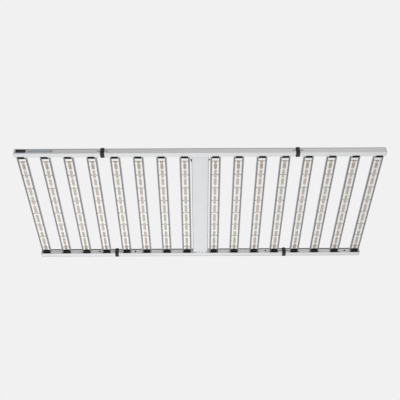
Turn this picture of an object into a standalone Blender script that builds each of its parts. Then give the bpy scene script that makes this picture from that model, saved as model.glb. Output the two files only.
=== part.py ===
"""LED grow light: sixteen light bars between two rails, with a driver housing across the middle.

Metres, +Z up. The light hangs level with its LEDs facing down (-Z). X runs along the rails and
Y along the bars. The origin is under the middle of the light, level with the hangers' undersides.
"""

import math

import bmesh
import bpy
from mathutils import Matrix, Vector

# Driving dimensions.
GAP = 0.0003
BAR_COUNT = 16
BAR_PITCH = 0.150
CENTRE_BAR_X = 0.100
OVERALL_LENGTH = 2.383

RAIL_WIDTH = 0.0370
RAIL_HEIGHT = 0.042
RAIL_WALL = 0.0024
RAIL_SPACING = 1.0355
SEAL_SEAT_BOTTOM = 0.0376
SEAL_SEAT_TOP = 0.0412
SEAL_SEAT_DEPTH = 0.0008
TRIM_GROOVE_HEIGHT = 0.0045
TRIM_GROOVE_DEPTH = 0.0005
TRIM_GROOVE_WIDTH = 0.0012
COVER_THICKNESS = 0.0023
COVER_LEDGE = 0.0015
END_CAP_PLATE = 0.003
END_CAP_PLUG_LENGTH = 0.008
END_CAP_PLUG_SLACK = 0.002
END_CAP_PLUG_BOTTOM = 0.0034
END_CAP_PLUG_TOP = 0.0360

HANGER_PLATE = 0.0015
HANGER_WIDTH = 0.026
HANGER_X = 0.625
HANGER_EAR = 0.0070
HANGER_SHOULDER = 0.0025
HANGER_EYE_RADIUS = 0.0022
EYELET_RADIUS = 0.0042
EYELET_THICKNESS = 0.0006
EYE_DROP = 0.0052
SLOT_LENGTH = 0.070
SLOT_HEIGHT = 0.0062
BOLT_RADIUS = 0.002
BOLT_HEAD_RADIUS = 0.0045
BOLT_HEAD_THICKNESS = 0.003

LED_PLANE = 0.0192
BAR_WIDTH = 0.0685
BAR_TOP = 0.0415
BAR_LIP = 0.0022
BAR_RIDGE = 0.0005
BAR_RIDGE_SPLAY = 0.0030
BAR_GROOVE_DEPTH = 0.0062
BAR_WEB_TOP = 0.0080
FIN_PITCH = 0.0065
FIN_THICKNESS = 0.0015
FIN_STEP_DOWN = (0.0, 0.0015, 0.0045)
BOARD_WIDTH = 0.0445
BOARD_THICKNESS = 0.0016

SOCKET_LENGTH = 0.024
SOCKET_WIDTH = 0.044
SOCKET_DROP = 0.0096
SOCKET_PLATE_WIDTH = 0.060
SOCKET_PLATE = 0.0025
SOCKET_PLATE_BOTTOM = 0.0040
SOCKET_STUB_WIDTH = 0.024
SOCKET_STUB_BOTTOM = 0.0095
SOCKET_STUB_HEIGHT = 0.006
SOCKET_STUB_REACH = 0.0043
SOCKET_HOOK_REACH = 0.0065
SOCKET_HOOK_THICKNESS = 0.0011
BUS_DEPTH = 0.008
BUS_OVERHANG = 0.014
BUS_INSET = 0.0004

HOUSING_WIDTH = 0.111
HOUSING_WALL = 0.0025
HOUSING_CHAMFER_WIDTH = 0.0045
HOUSING_CHAMFER_HEIGHT = 0.008
FLOOR_GROOVE_X = (0.0115, 0.0285, 0.0430)
FLOOR_GROOVE_WIDTH = 0.0020
FLOOR_GROOVE_DEPTH = 0.0006
LID_PLATE = 0.0025
LID_RIB_HEIGHT = 0.005
LID_RIB_PITCH = 0.0125
LID_RIB_THICKNESS = 0.0018
LID_RIBS_EACH_SIDE = 4
CONTROL_BAY_HALF_WIDTH = 0.0540
CONTROL_BAY_Y = (-0.505, -0.405)
DRIVER_WIDTH = 0.092
DRIVER_LENGTH = 0.470
DRIVER_TOP = 0.034
DRIVER_Y = 0.245
DRIVER_BEVEL = 0.003
CLIP_X = 0.0612
CLIP_Y = 0.474
CLIP_SIZE = (0.006, 0.014, 0.003)
CLIP_STEM_WIDTH = 0.004
CLIP_STEM_INSET = 0.0006
CLIP_BEVEL = 0.001

KNOB_PLACE = (-0.026, -0.455)
KNOB_RADIUS = 0.011
KNOB_CLEARANCE = 0.0005
KNOB_SHAFT_RADIUS = 0.003
KNOB_SHAFT_REACH = 0.008
KNOB_LINE = (0.0012, 0.009, 0.0008)
KNOB_LINE_START = 0.004
INLET_PLACE = (0.024, -0.455)
INLET_SIZE = (0.034, 0.050)
INLET_RECESS = (0.024, 0.030)
INLET_RECESS_DEPTH = 0.006
CONTROL_HEIGHT = 0.0125
ROUND_STEPS = 20
NUT_SIDES = 6
SLOT_END_STEPS = 6
CUT_MARGIN = 0.02
WELD_DISTANCE = 1e-6

# Derived sizes and places.
RAIL_BOTTOM = HANGER_PLATE + GAP
RAIL_TOP = RAIL_BOTTOM + RAIL_HEIGHT
RAIL_INNER_Y = RAIL_SPACING / 2
RAIL_CENTRE_Y = RAIL_INNER_Y + RAIL_WIDTH / 2
RAIL_LENGTH = OVERALL_LENGTH - 2 * (END_CAP_PLATE + GAP)
BAR_LENGTH = RAIL_SPACING - 2 * GAP
BOARD_LENGTH = RAIL_SPACING - 2 * (SOCKET_LENGTH + 2 * GAP)
SLOT_Z = RAIL_BOTTOM + RAIL_HEIGHT / 2
LID_TOP = RAIL_TOP + LID_PLATE
CONTROL_TOP = RAIL_TOP + CONTROL_HEIGHT
SIDES = ((-1, "near"), (1, "far"))
ENDS = ((-1, "left"), (1, "right"))


def clear_scene():
    """Empties the file, so that only this model is in it."""
    for obj in list(bpy.data.objects):
        bpy.data.objects.remove(obj, do_unlink=True)


def new_collection(name):
    collection = bpy.data.collections.new(name)
    bpy.context.scene.collection.children.link(collection)
    return collection


def new_material(name, colour, metallic, roughness):
    material = bpy.data.materials.new(name)
    material.use_nodes = True
    shader = material.node_tree.nodes["Principled BSDF"]
    shader.inputs["Base Color"].default_value = (*colour, 1.0)
    shader.inputs["Metallic"].default_value = metallic
    shader.inputs["Roughness"].default_value = roughness
    material.diffuse_color = (*colour, 1.0)
    return material


clear_scene()
PARTS = new_collection("led_grow_light")
CUTTERS = new_collection("cutters")
CUTTERS.hide_render = True


# Shapes.


def mesh_object(name, mesh, material=None, collection=PARTS):
    obj = bpy.data.objects.new(name, mesh)
    collection.objects.link(obj)
    if material:
        mesh.materials.append(material)
    if collection is CUTTERS:
        obj.hide_render = True
        obj.display_type = "WIRE"
    return obj


def box_between(corner, opposite):
    """A box's (low corner, high corner) pair from any two opposite corners."""
    low = [min(pair) for pair in zip(corner, opposite)]
    high = [max(pair) for pair in zip(corner, opposite)]
    return low, high


def boxes(name, places, material=None, collection=CUTTERS):
    """One mesh of separate boxes. Each place is a (low corner, high corner) pair."""
    shape = bmesh.new()
    for low, high in places:
        middle = (Vector(low) + Vector(high)) / 2
        size = Vector(high) - Vector(low)
        matrix = Matrix.Translation(middle) @ Matrix.Diagonal((*size, 1.0))
        bmesh.ops.create_cube(shape, size=1.0, matrix=matrix)
    mesh = bpy.data.meshes.new(name)
    shape.to_mesh(mesh)
    shape.free()
    return mesh_object(name, mesh, material, collection)


def cylinders(name, places, radius, length, axis, material=None, collection=CUTTERS, steps=ROUND_STEPS):
    """One mesh of separate cylinders along axis X, Y or Z, centred on the given places."""
    turn = {
        "X": Matrix.Rotation(math.pi / 2, 4, "Y"),
        "Y": Matrix.Rotation(math.pi / 2, 4, "X"),
        "Z": Matrix.Identity(4),
    }[axis]
    shape = bmesh.new()
    for place in places:
        bmesh.ops.create_cone(
            shape,
            cap_ends=True,
            segments=steps,
            radius1=radius,
            radius2=radius,
            depth=length,
            matrix=Matrix.Translation(place) @ turn,
        )
    mesh = bpy.data.meshes.new(name)
    shape.to_mesh(mesh)
    shape.free()
    return mesh_object(name, mesh, material, collection)


def extrusion(name, outline, length, axis, place, material=None, collection=PARTS):
    """A flat outline drawn out along Y (outline in X, Z) or along X (outline in Y, Z)."""
    curve = bpy.data.curves.new(name, "CURVE")
    curve.dimensions = "2D"
    curve.fill_mode = "BOTH"
    curve.extrude = length / 2
    spline = curve.splines.new("POLY")
    spline.points.add(len(outline) - 1)
    for point, (across, up) in zip(spline.points, outline):
        point.co = (across, up, 0.0, 1.0)
    spline.use_cyclic_u = True
    along_y = Matrix(((1, 0, 0, 0), (0, 0, -1, 0), (0, 1, 0, 0), (0, 0, 0, 1)))
    along_x = Matrix(((0, 0, 1, 0), (1, 0, 0, 0), (0, 1, 0, 0), (0, 0, 0, 1)))
    source = bpy.data.objects.new(name, curve)
    bpy.context.scene.collection.objects.link(source)
    bpy.context.view_layer.update()
    graph = bpy.context.evaluated_depsgraph_get()
    mesh = bpy.data.meshes.new_from_object(source.evaluated_get(graph))
    bpy.data.objects.remove(source, do_unlink=True)
    shape = bmesh.new()
    shape.from_mesh(mesh)
    bmesh.ops.remove_doubles(shape, verts=shape.verts, dist=WELD_DISTANCE)
    bmesh.ops.transform(shape, matrix=along_y if axis == "Y" else along_x, verts=shape.verts)
    bmesh.ops.recalc_face_normals(shape, faces=shape.faces)
    shape.to_mesh(mesh)
    shape.free()
    mesh.materials.clear()
    obj = mesh_object(name, mesh, material, collection)
    obj.location = place
    return obj


def boolean(obj, other, operation):
    modifier = obj.modifiers.new(operation.lower() + "_" + other.name, "BOOLEAN")
    modifier.operation = operation
    modifier.object = other
    modifier.solver = "EXACT"


def cut(obj, cutter):
    boolean(obj, cutter, "DIFFERENCE")


def join(obj, other):
    boolean(obj, other, "UNION")


def bevel(obj, width):
    modifier = obj.modifiers.new("bevel", "BEVEL")
    modifier.width = width
    modifier.segments = 1


def mirrored(half):
    """A closed outline from its right half, which runs from the bottom middle to the top middle."""
    return half + [(-across, up) for across, up in reversed(half)]


def stadium(length, height, steps=SLOT_END_STEPS):
    """A slot's outline: a rectangle with two round ends."""
    radius = height / 2
    points = []
    for side in (1, -1):
        for step in range(steps + 1):
            angle = -math.pi / 2 + math.pi * step / steps
            centre = side * (length / 2 - radius)
            points.append((centre + side * radius * math.cos(angle), side * radius * math.sin(angle)))
    return points


# Materials.

RAIL_ALUMINIUM = new_material("rail_aluminium", (0.62, 0.63, 0.64), 0.85, 0.38)
BAR_ALUMINIUM = new_material("bar_aluminium", (0.42, 0.43, 0.44), 0.85, 0.42)
BOARD_WHITE = new_material("board_white", (0.86, 0.86, 0.84), 0.0, 0.45)
HOUSING_SILVER = new_material("housing_silver", (0.72, 0.73, 0.75), 0.7, 0.40)
BLACK_PLASTIC = new_material("black_plastic", (0.02, 0.02, 0.018), 0.0, 0.5)
BLACK_STEEL = new_material("black_steel", (0.022, 0.022, 0.02), 0.3, 0.45)
BOLT_STEEL = new_material("bolt_steel", (0.30, 0.30, 0.29), 0.9, 0.35)
DRIVER_CASE = new_material("driver_case", (0.30, 0.31, 0.33), 0.6, 0.5)


def bar_places():
    """The bars' X positions, left to right: even steps on each side of the housing."""
    half = [CENTRE_BAR_X + BAR_PITCH * step for step in range(BAR_COUNT // 2)]
    return [-x for x in reversed(half)] + half


# Light bars.


def bar_outline():
    """The heat sink's section: a board seat, a groove and a lip on each side, and a row of fins.

    The wall between the seat and each groove leans outwards, away from the board.
    """
    seat = LED_PLANE + BOARD_THICKNESS + GAP
    ridge_inner = BOARD_WIDTH / 2 + GAP
    ridge_outer = ridge_inner + BAR_RIDGE
    groove_floor = LED_PLANE + BAR_GROOVE_DEPTH
    web_top = LED_PLANE + BAR_WEB_TOP
    lip_outer = BAR_WIDTH / 2
    lip_inner = lip_outer - BAR_LIP
    fin_half = FIN_THICKNESS / 2
    half = [
        (ridge_inner, seat),
        (ridge_inner, LED_PLANE),
        (ridge_outer, LED_PLANE),
        (ridge_outer + BAR_RIDGE_SPLAY, groove_floor),
        (lip_inner, groove_floor),
        (lip_inner, LED_PLANE),
        (lip_outer, LED_PLANE),
        (lip_outer, web_top),
    ]
    for number, step_down in reversed(list(enumerate(FIN_STEP_DOWN, 1))):
        x = number * FIN_PITCH
        top = BAR_TOP - step_down
        half += [
            (x + fin_half, web_top),
            (x + fin_half, top),
            (x - fin_half, top),
            (x - fin_half, web_top),
        ]
    half += [(fin_half, web_top), (fin_half, BAR_TOP)]
    return mirrored(half)


def board_outline():
    half = [(BOARD_WIDTH / 2, LED_PLANE), (BOARD_WIDTH / 2, LED_PLANE + BOARD_THICKNESS)]
    return mirrored(half)


def build_bars():
    """The first bar is drawn; the others share its two meshes."""
    sink = None
    board = None
    for number, x in enumerate(bar_places(), 1):
        place = (x, 0.0, RAIL_BOTTOM)
        sink_name = f"bar_heatsink_{number:02d}"
        board_name = f"led_board_{number:02d}"
        if sink is None:
            sink = extrusion(sink_name, bar_outline(), BAR_LENGTH, "Y", place, BAR_ALUMINIUM)
            board = extrusion(board_name, board_outline(), BOARD_LENGTH, "Y", place, BOARD_WHITE)
        else:
            mesh_object(sink_name, sink.data).location = place
            mesh_object(board_name, board.data).location = place


# Rails.


def rail_outline():
    """A channel open at the top, with a ledge in each wall that the cover strip rests on.

    Each outer face has a fine trim groove near the bottom and a seat for a seal near the top.
    """
    outer = RAIL_WIDTH / 2
    inner = outer - RAIL_WALL
    ledge = inner - COVER_LEDGE
    ledge_top = RAIL_HEIGHT - COVER_THICKNESS - GAP
    ledge_bottom = ledge_top - COVER_LEDGE
    groove_half = TRIM_GROOVE_WIDTH / 2
    seat = outer - SEAL_SEAT_DEPTH
    half = [
        (outer, 0.0),
        (outer, TRIM_GROOVE_HEIGHT - groove_half),
        (outer - TRIM_GROOVE_DEPTH, TRIM_GROOVE_HEIGHT),
        (outer, TRIM_GROOVE_HEIGHT + groove_half),
        (outer, SEAL_SEAT_BOTTOM),
        (seat, SEAL_SEAT_BOTTOM),
        (seat, SEAL_SEAT_TOP),
        (outer, SEAL_SEAT_TOP),
        (outer, RAIL_HEIGHT),
        (inner, RAIL_HEIGHT),
        (inner, ledge_top),
        (ledge, ledge_top),
        (ledge, ledge_bottom),
        (inner, ledge_bottom),
        (inner, RAIL_WALL),
    ]
    return mirrored(half)


def cover_outline():
    half_width = RAIL_WIDTH / 2 - RAIL_WALL - GAP
    bottom = RAIL_HEIGHT - COVER_THICKNESS
    return mirrored([(half_width, bottom), (half_width, RAIL_HEIGHT - GAP)])


def build_end_cap(centre_y, end, label):
    """A plate over the end of a rail, with a plug that goes inside the channel."""
    inner_x = end * (RAIL_LENGTH / 2 + GAP)
    outer_x = end * OVERALL_LENGTH / 2
    plate = box_between(
        (inner_x, centre_y - RAIL_WIDTH / 2, RAIL_BOTTOM),
        (outer_x, centre_y + RAIL_WIDTH / 2, RAIL_TOP),
    )
    plug_half = RAIL_WIDTH / 2 - RAIL_WALL - END_CAP_PLUG_SLACK
    plug = box_between(
        (inner_x + end * END_CAP_PLATE / 2, centre_y - plug_half, RAIL_BOTTOM + END_CAP_PLUG_BOTTOM),
        (inner_x - end * END_CAP_PLUG_LENGTH, centre_y + plug_half, RAIL_BOTTOM + END_CAP_PLUG_TOP),
    )
    cap = boxes(f"rail_end_cap_{label}", [plate], RAIL_ALUMINIUM, PARTS)
    join(cap, boxes(f"end_cap_plug_{label}", [plug]))


def build_rail(side, label):
    """One rail with its cover strip and end caps. side is -1 for the near rail and 1 for the far."""
    centre_y = side * RAIL_CENTRE_Y
    inner_y = side * RAIL_INNER_Y
    place = (0.0, centre_y, RAIL_BOTTOM)
    rail = extrusion(f"rail_{label}", rail_outline(), RAIL_LENGTH, "X", place, RAIL_ALUMINIUM)
    extrusion(f"rail_cover_{label}", cover_outline(), RAIL_LENGTH, "X", place, RAIL_ALUMINIUM)

    slot = stadium(SLOT_LENGTH, SLOT_HEIGHT)
    for end, end_label in ENDS:
        slot_place = (end * HANGER_X, centre_y, SLOT_Z)
        name = f"slot_cutter_{label}_{end_label}"
        cut(rail, extrusion(name, slot, RAIL_WIDTH + CUT_MARGIN, "Y", slot_place, None, CUTTERS))
        build_end_cap(centre_y, end, f"{label}_{end_label}")

    window_half = SOCKET_STUB_WIDTH / 2 + GAP
    window_low = RAIL_BOTTOM + SOCKET_STUB_BOTTOM - GAP
    window_high = window_low + SOCKET_STUB_HEIGHT + 2 * GAP
    outside_y = inner_y - side * RAIL_WALL
    inside_y = inner_y + side * SOCKET_STUB_REACH
    windows = [
        box_between((x - window_half, outside_y, window_low), (x + window_half, inside_y, window_high))
        for x in bar_places()
    ]
    cut(rail, boxes(f"window_cutters_{label}", windows))


# Bar sockets and the cable that joins them.


def build_harness(side, label):
    """One moulded harness: a flat cable inside the rail, with a socket under the end of each bar.

    Each near socket also has a thin hook that reaches under the rail.
    """
    inner_y = side * RAIL_INNER_Y
    face_y = inner_y - side * GAP
    plate_y = face_y - side * SOCKET_PLATE
    bus_y = inner_y + side * (RAIL_WALL + GAP)
    stub_low = RAIL_BOTTOM + SOCKET_STUB_BOTTOM
    stub_high = stub_low + SOCKET_STUB_HEIGHT
    foot_low = RAIL_BOTTOM + LED_PLANE - SOCKET_DROP
    foot_high = RAIL_BOTTOM + LED_PLANE + BOARD_THICKNESS
    plate_low = RAIL_BOTTOM + SOCKET_PLATE_BOTTOM
    plate_high = RAIL_BOTTOM + LED_PLANE - GAP
    hook_high = RAIL_BOTTOM - GAP
    hook_low = hook_high - SOCKET_HOOK_THICKNESS
    last_bar = bar_places()[-1]

    def one_per_bar(name, width, from_y, to_y, low, high):
        places = [
            box_between((x - width / 2, from_y, low), (x + width / 2, to_y, high))
            for x in bar_places()
        ]
        return boxes(f"{name}_{label}", places)

    bus = box_between(
        (-last_bar - BUS_OVERHANG, bus_y, stub_low + BUS_INSET),
        (last_bar + BUS_OVERHANG, bus_y + side * BUS_DEPTH, stub_high - BUS_INSET),
    )
    harness = boxes(f"bar_harness_{label}", [bus], BLACK_PLASTIC, PARTS)
    stub_y = inner_y + side * SOCKET_STUB_REACH
    foot_y = (face_y - side * GAP, inner_y - side * SOCKET_LENGTH)
    join(harness, one_per_bar("socket_stubs", SOCKET_STUB_WIDTH, plate_y, stub_y, stub_low, stub_high))
    join(harness, one_per_bar("socket_plates", SOCKET_PLATE_WIDTH, face_y, plate_y, plate_low, plate_high))
    join(harness, one_per_bar("socket_feet", SOCKET_WIDTH, *foot_y, foot_low, foot_high))
    if label == "near":
        hook_y = inner_y + side * SOCKET_HOOK_REACH
        web_high = plate_low + SOCKET_PLATE
        join(harness, one_per_bar("hook_webs", SOCKET_WIDTH, face_y, plate_y, hook_low, web_high))
        join(harness, one_per_bar("hook_lips", SOCKET_WIDTH, hook_y, plate_y, hook_low, hook_high))


# Hangers.


def strap_outline(inner, ear_top):
    """A deep U that goes under the rail, with a wall up each side."""
    outer = inner + HANGER_PLATE
    return [
        (-outer, 0.0),
        (outer, 0.0),
        (outer, ear_top),
        (inner, ear_top),
        (inner, HANGER_PLATE),
        (-inner, HANGER_PLATE),
        (-inner, ear_top),
        (-outer, ear_top),
    ]


def build_hanger(side, end, label):
    """A bent strap round the rail, with an eye above each wall, and the bolt that clamps it."""
    x = end * HANGER_X
    centre_y = side * RAIL_CENTRE_Y
    inner = RAIL_WIDTH / 2 + GAP
    outer = inner + HANGER_PLATE
    ear_top = RAIL_TOP + HANGER_EAR
    place = (x, centre_y, 0.0)
    strap_name = f"hanger_strap_{label}"
    strap = extrusion(strap_name, strap_outline(inner, ear_top), HANGER_WIDTH, "X", place, BLACK_STEEL)

    eye_z = ear_top - EYE_DROP
    eyelet = (x, centre_y, eye_z)
    eyelet_span = 2 * (outer + EYELET_THICKNESS)
    pads = cylinders(f"eyelet_pads_{label}", [eyelet], EYELET_RADIUS, eyelet_span, "Y")
    inside = box_between(
        (x - HANGER_WIDTH, centre_y - inner - HANGER_PLATE / 2, eye_z - 2 * EYELET_RADIUS),
        (x + HANGER_WIDTH, centre_y + inner + HANGER_PLATE / 2, eye_z + 2 * EYELET_RADIUS),
    )
    cut(pads, boxes(f"between_pads_cutter_{label}", [inside]))
    join(strap, pads)

    shoulder_z = RAIL_TOP + HANGER_SHOULDER
    half_width = HANGER_WIDTH / 2
    flat_half = EYELET_RADIUS / 2
    span = 2 * outer + CUT_MARGIN
    for hand, hand_label in ENDS:
        corner = [
            (hand * flat_half, ear_top),
            (hand * half_width, shoulder_z),
            (hand * (half_width + CUT_MARGIN), shoulder_z),
            (hand * (half_width + CUT_MARGIN), ear_top + CUT_MARGIN),
            (hand * flat_half, ear_top + CUT_MARGIN),
        ]
        name = f"roof_cutter_{label}_{hand_label}"
        cut(strap, extrusion(name, corner, span, "Y", place, None, CUTTERS))
    cut(strap, cylinders(f"eye_cutter_{label}", [eyelet], HANGER_EYE_RADIUS, span, "Y"))
    bolt_place = (x, centre_y, SLOT_Z)
    cut(strap, cylinders(f"bolt_hole_cutter_{label}", [bolt_place], BOLT_RADIUS + GAP, span, "Y"))

    head_y = outer + GAP + BOLT_HEAD_THICKNESS / 2
    shank = 2 * (outer + GAP) + BOLT_HEAD_THICKNESS
    bolt = cylinders(f"hanger_bolt_{label}", [(0, 0, 0)], BOLT_RADIUS, shank, "Y", BOLT_STEEL, PARTS)
    bolt.location = bolt_place
    head = (x, centre_y + side * head_y, SLOT_Z)
    nut = (x, centre_y - side * head_y, SLOT_Z)
    head_size = (BOLT_HEAD_RADIUS, BOLT_HEAD_THICKNESS)
    join(bolt, cylinders(f"bolt_head_{label}", [head], *head_size, "Y"))
    join(bolt, cylinders(f"bolt_nut_{label}", [nut], *head_size, "Y", steps=NUT_SIDES))


# Driver housing.


def housing_outline():
    """A deep tray: a grooved floor, a steep chamfer along each bottom edge, and two walls."""
    outer = HOUSING_WIDTH / 2
    inner = outer - HOUSING_WALL
    wall_top = RAIL_HEIGHT - GAP
    floor_half = outer - HOUSING_CHAMFER_WIDTH
    half = []
    for x in FLOOR_GROOVE_X:
        mouth = FLOOR_GROOVE_WIDTH / 2
        bed = mouth - FLOOR_GROOVE_DEPTH / 2
        half += [
            (x - mouth, 0.0),
            (x - bed, FLOOR_GROOVE_DEPTH),
            (x + bed, FLOOR_GROOVE_DEPTH),
            (x + mouth, 0.0),
        ]
    half += [
        (floor_half, 0.0),
        (outer, HOUSING_CHAMFER_HEIGHT),
        (outer, wall_top),
        (inner, wall_top),
        (inner, HOUSING_CHAMFER_HEIGHT + HOUSING_WALL / 2),
        (floor_half - HOUSING_WALL / 2, HOUSING_WALL),
    ]
    return mirrored(half)


def lid_outline():
    """A flat plate with a row of cooling ribs on top."""
    outer = HOUSING_WIDTH / 2
    bottom = RAIL_HEIGHT
    top = bottom + LID_PLATE
    rib_top = top + LID_RIB_HEIGHT
    rib_half = LID_RIB_THICKNESS / 2
    half = [(outer, bottom), (outer, top)]
    for number in range(LID_RIBS_EACH_SIDE, 0, -1):
        x = number * LID_RIB_PITCH
        half += [
            (x + rib_half, top),
            (x + rib_half, rib_top),
            (x - rib_half, rib_top),
            (x - rib_half, top),
        ]
    half += [(rib_half, top), (rib_half, rib_top)]
    return mirrored(half)


def build_housing():
    """The tray, its ribbed lid with a bare bay for the controls, and the two LED drivers inside."""
    place = (0.0, 0.0, RAIL_BOTTOM)
    length = RAIL_SPACING - 2 * GAP
    extrusion("driver_housing", housing_outline(), length, "Y", place, HOUSING_SILVER)
    lid = extrusion("housing_lid", lid_outline(), length, "Y", place, HOUSING_SILVER)
    bay = box_between(
        (-CONTROL_BAY_HALF_WIDTH, CONTROL_BAY_Y[0], LID_TOP),
        (CONTROL_BAY_HALF_WIDTH, CONTROL_BAY_Y[1], LID_TOP + 2 * LID_RIB_HEIGHT),
    )
    cut(lid, boxes("control_bay_cutter", [bay]))
    hole = (*KNOB_PLACE, LID_TOP)
    cut(lid, cylinders("shaft_hole_cutter", [hole], KNOB_SHAFT_RADIUS + GAP, CUT_MARGIN, "Z"))

    for side, label in SIDES:
        middle = side * DRIVER_Y
        case = box_between(
            (-DRIVER_WIDTH / 2, middle - DRIVER_LENGTH / 2, RAIL_BOTTOM + HOUSING_WALL + GAP),
            (DRIVER_WIDTH / 2, middle + DRIVER_LENGTH / 2, RAIL_BOTTOM + DRIVER_TOP),
        )
        bevel(boxes(f"led_driver_{label}", [case], DRIVER_CASE, PARTS), DRIVER_BEVEL)


def build_cable_clips():
    """A clip on a short stem at each side of the housing's near end."""
    width, length, height = CLIP_SIZE
    y = -CLIP_Y
    top = RAIL_BOTTOM + LED_PLANE
    bottom = top - height
    wall_x = HOUSING_WIDTH / 2 + GAP
    stem_half = CLIP_STEM_WIDTH / 2
    for end, end_label in ENDS:
        name = f"housing_clip_{end_label}"
        x = end * CLIP_X
        body = box_between(
            (x - width / 2, y - length / 2, bottom),
            (x + width / 2, y + length / 2, top),
        )
        stem = box_between(
            (end * wall_x, y - stem_half, bottom + CLIP_STEM_INSET),
            (x, y + stem_half, top - CLIP_STEM_INSET),
        )
        clip = boxes(name, [body], BLACK_PLASTIC, PARTS)
        bevel(clip, CLIP_BEVEL)
        join(clip, boxes(name + "_stem", [stem]))


def build_controls():
    """The dimmer knob, which turns on the lid, and the mains inlet beside it."""
    knob_bottom = LID_TOP + KNOB_CLEARANCE
    height = CONTROL_TOP - knob_bottom
    middle = (knob_bottom + CONTROL_TOP) / 2
    knob = cylinders("dimmer_knob", [(0, 0, 0)], KNOB_RADIUS, height, "Z", BLACK_PLASTIC, PARTS)
    knob.location = (*KNOB_PLACE, middle)
    shaft_length = height / 2 + KNOB_SHAFT_REACH
    shaft_place = (*KNOB_PLACE, middle - shaft_length / 2)
    join(knob, cylinders("knob_shaft", [shaft_place], KNOB_SHAFT_RADIUS, shaft_length, "Z"))
    line_width, line_length, line_depth = KNOB_LINE
    line_y = KNOB_PLACE[1] + KNOB_LINE_START
    line = box_between(
        (KNOB_PLACE[0] - line_width / 2, line_y, CONTROL_TOP - line_depth),
        (KNOB_PLACE[0] + line_width / 2, line_y + line_length, CONTROL_TOP + line_depth),
    )
    cut(knob, boxes("knob_line_cutter", [line]))

    x, y = INLET_PLACE
    width, length = INLET_SIZE
    case = box_between(
        (x - width / 2, y - length / 2, LID_TOP + GAP),
        (x + width / 2, y + length / 2, CONTROL_TOP),
    )
    inlet = boxes("power_inlet", [case], BLACK_PLASTIC, PARTS)
    width, length = INLET_RECESS
    recess = box_between(
        (x - width / 2, y - length / 2, CONTROL_TOP - INLET_RECESS_DEPTH),
        (x + width / 2, y + length / 2, CONTROL_TOP + INLET_RECESS_DEPTH),
    )
    cut(inlet, boxes("inlet_recess_cutter", [recess]))


def build():
    build_bars()
    for side, label in SIDES:
        build_rail(side, label)
        build_harness(side, label)
        for end, end_label in ENDS:
            build_hanger(side, end, f"{label}_{end_label}")
    build_housing()
    build_cable_clips()
    build_controls()


build()
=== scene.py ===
"""Looks for the LED grow light: materials, LEDs, clips, seals, screws, labels, light and camera.

Metres, +Z up, in the CAD part's own frame. The light hangs level with its LEDs facing down.
"""

import math

import bmesh
import bpy
from mathutils import Matrix, Vector


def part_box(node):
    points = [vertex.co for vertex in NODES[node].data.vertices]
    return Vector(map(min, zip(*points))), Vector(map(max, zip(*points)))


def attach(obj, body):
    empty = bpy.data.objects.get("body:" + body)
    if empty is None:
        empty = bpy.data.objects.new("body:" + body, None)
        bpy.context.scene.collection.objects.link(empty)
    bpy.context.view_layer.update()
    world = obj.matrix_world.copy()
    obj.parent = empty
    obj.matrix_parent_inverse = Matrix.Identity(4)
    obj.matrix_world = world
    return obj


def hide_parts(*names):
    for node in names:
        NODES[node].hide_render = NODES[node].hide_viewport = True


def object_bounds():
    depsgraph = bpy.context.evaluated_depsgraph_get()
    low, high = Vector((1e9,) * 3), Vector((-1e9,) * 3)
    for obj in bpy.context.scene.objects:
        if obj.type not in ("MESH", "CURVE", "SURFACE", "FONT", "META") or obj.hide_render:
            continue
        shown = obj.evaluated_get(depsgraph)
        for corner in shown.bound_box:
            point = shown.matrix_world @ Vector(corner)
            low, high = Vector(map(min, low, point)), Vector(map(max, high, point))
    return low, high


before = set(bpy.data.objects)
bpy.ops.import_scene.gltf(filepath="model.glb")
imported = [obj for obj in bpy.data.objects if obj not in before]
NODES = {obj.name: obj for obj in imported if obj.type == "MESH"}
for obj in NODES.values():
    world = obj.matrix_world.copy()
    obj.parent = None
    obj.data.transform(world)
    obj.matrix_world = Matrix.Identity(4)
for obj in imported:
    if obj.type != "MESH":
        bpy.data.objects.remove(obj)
CAD_LOW, CAD_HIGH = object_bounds()
FRAME_BODY = "light_frame"
SIDES = {"near": -1, "far": 1}
ENDS = {"left": -1, "right": 1}

bpy.context.scene.view_settings.view_transform = "Standard"


# Places taken from the frame.


def centre(node):
    low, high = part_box(node)
    return (low + high) / 2


BAR_NAMES = sorted(name for name in NODES if name.startswith("bar_heatsink_"))
BOARD_NAMES = sorted(name for name in NODES if name.startswith("led_board_"))
BAR_X = [centre(name).x for name in BAR_NAMES]
BOARD_LOW, BOARD_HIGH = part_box(BOARD_NAMES[0])
LED_PLANE = BOARD_LOW.z
BOARD_HALF_WIDTH = (BOARD_HIGH.x - BOARD_LOW.x) / 2
RAIL_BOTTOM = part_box("rail_near")[0].z
RAIL_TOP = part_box("rail_near")[1].z
RAIL_HALF_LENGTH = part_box("rail_near")[1].x
RAIL_INNER_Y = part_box("rail_far")[0].y
RAIL_OUTER_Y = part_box("rail_far")[1].y
OBJECT_HALF_LENGTH = CAD_HIGH.x
LID_RIB_HEIGHT = 0.005
LID_PLATE_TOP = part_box("housing_lid")[1].z - LID_RIB_HEIGHT

# How far a small piece is sunk into the face that it sits on.
SEAT = 0.0001


# Node materials.


class Nodes:
    """A short way to write a material's or a world's node tree."""

    def __init__(self, tree):
        self.tree = tree

    def add(self, kind, **settings):
        node = self.tree.nodes.new("ShaderNode" + kind)
        for name, value in settings.items():
            setattr(node, name, value)
        return node

    def set(self, node, **values):
        for name, value in values.items():
            node.inputs[name.replace("_", " ")].default_value = value
        return node

    def link(self, source, target):
        self.tree.links.new(source, target)


def grey(level):
    return (level, level, level, 1.0)


def rgba(colour):
    return (*colour, 1.0)


CREASE_SHADE_REACH = 0.003
CREASE_RANGE = (0.2, 0.8)
NOISE_RANGE = (0.3, 0.7)
BROAD_NOISE = 60
ROUGHNESS_RANGE = (0.85, 1.15)
BUMP_DEPTH = 0.0002


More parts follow.
